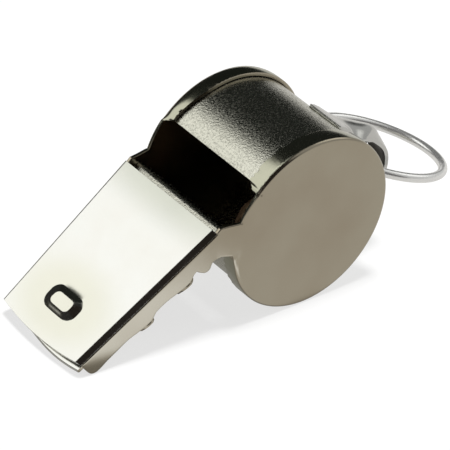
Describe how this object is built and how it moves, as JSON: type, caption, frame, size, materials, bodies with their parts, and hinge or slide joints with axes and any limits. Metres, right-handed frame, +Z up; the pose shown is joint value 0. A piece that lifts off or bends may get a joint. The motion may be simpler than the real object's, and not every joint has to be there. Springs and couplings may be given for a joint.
{
  "type": "pea whistle",
  "caption": "Plated sheet-metal pea whistle with a short sloping mouthpiece, round chamber, loose cork pea and a swinging wire ring for a lanyard.",
  "frame": {"origin": "centre of the whole object's bounding box, ring included, at the height of the surface it stands on", "axes": "+X to the whistle's right side plate, mouthpiece towards -Y, ring towards +Y, +Z up"},
  "size_m": [0.0198, 0.0586, 0.022],
  "materials": {
    "nickel_plate": "polished",
    "nickel_barrel": "polished, fine grain",
    "chrome_wire": "mirror",
    "solder": "satin",
    "cork": "matt"
  },
  "bodies": {
    "whistle_body": {"side_plate_right": "nickel_plate", "side_plate_left": "nickel_plate", "barrel_strip": "nickel_barrel", "mouthpiece_top": "nickel_plate", "windway_floor": "nickel_barrel", "underside_plate": "nickel_plate", "ring_lug": "nickel_plate", "lug_solder_front": "solder", "lug_solder_rear": "solder"},
    "ring": {"wire_ring": "chrome_wire"},
    "pea": {"pea": "cork"}
  },
  "joints": [
    {"name": "ring_swing", "type": "hinge", "parent": "whistle_body", "child": "ring", "pos_m": [-0.00111, 0.01308, 0.0112], "axis": [1, 0, 0], "range_deg": [0, 90]},
    {"name": "pea_orbit", "type": "hinge", "parent": "whistle_body", "child": "pea", "pos_m": [0.00093, 0.00195, 0.011], "axis": [1, 0, 0], "continuous": true}
  ]
}
